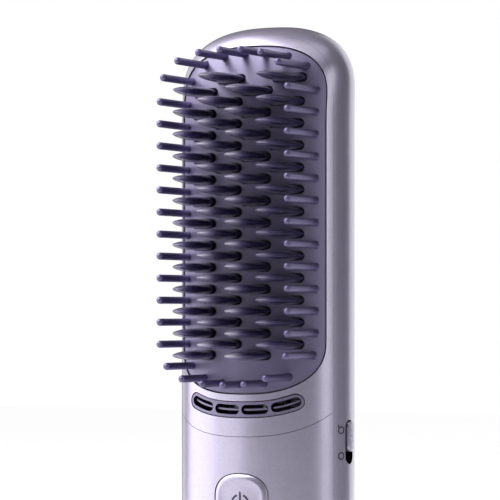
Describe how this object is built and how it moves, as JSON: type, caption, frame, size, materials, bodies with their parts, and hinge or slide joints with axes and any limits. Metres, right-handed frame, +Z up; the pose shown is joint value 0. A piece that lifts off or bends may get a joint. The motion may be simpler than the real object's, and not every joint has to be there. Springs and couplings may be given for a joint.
{
  "type": "cordless hair straightener brush",
  "caption": "Upright oval hair straightener brush with a domed head, staggered heated comb teeth ringed by cool pins, an air outlet, a push button and a slide switch.",
  "frame": {"origin": "middle of the flat bottom end, at the mouth of the charging inlet", "axes": "+Z up the handle, -Y the comb side, +X the side with the slide switch"},
  "size_m": [0.0423, 0.04, 0.205],
  "materials": {
    "housing": "pearl lavender lacquer, satin",
    "housing_trim": "pearl lavender lacquer, satin",
    "comb": "dark violet, satin",
    "teeth": "dark violet ceramic coat, satin",
    "pins": "violet, satin",
    "symbol": "dark light window",
    "cast_plate": "cast",
    "pressed_metal": "nickel plated",
    "screw_steel": "zinc plated",
    "black_plastic": "moulded",
    "switch_case": "pressed cover",
    "board": "coated board",
    "heater_ceramic": "wrapped ceramic",
    "heat_board": "heat-resistant moulding",
    "lead": "silicone sleeve",
    "cell_film": "film-wrapped can",
    "holder": "moulded"
  },
  "bodies": {
    "body": {"back_shell": "housing", "head_frame": "housing", "front_cover": "housing", "end_cap": "housing", "comb_panel": "comb", "air_grille": "comb", "heated_teeth": "teeth", "cool_pins": "pins", "heating_plate": "cast_plate", "heater_clamp": "pressed_metal", "cell_tabs": "pressed_metal", "charge_port": "pressed_metal", "thermal_fuse": "pressed_metal", "ion_needles": "pressed_metal", "case_screws": "screw_steel", "board_parts": "black_plastic", "ion_module": "black_plastic", "button_switch": "switch_case", "slide_switch": "switch_case", "circuit_board": "board", "port_board": "board", "heater_strips": "heater_ceramic", "insulating_tray": "heat_board", "heater_leads": "lead", "battery_cells": "cell_film", "cell_holder": "holder"},
    "button": {"power_button": "housing_trim", "power_symbol": "symbol", "button_plunger": "black_plastic"},
    "slider": {"lock_slider": "housing_trim", "switch_lever": "black_plastic"}
  },
  "joints": [
    {"name": "button_press", "type": "slide", "parent": "body", "child": "button", "axis": [0, 1, 0], "range_m": [0, 0.0006], "stiffness_N_per_m": 900, "springref_m": -0.0006},
    {"name": "lock_slide", "type": "slide", "parent": "body", "child": "slider", "axis": [0, 0, -1], "range_m": [0, 0.0025]}
  ]
}
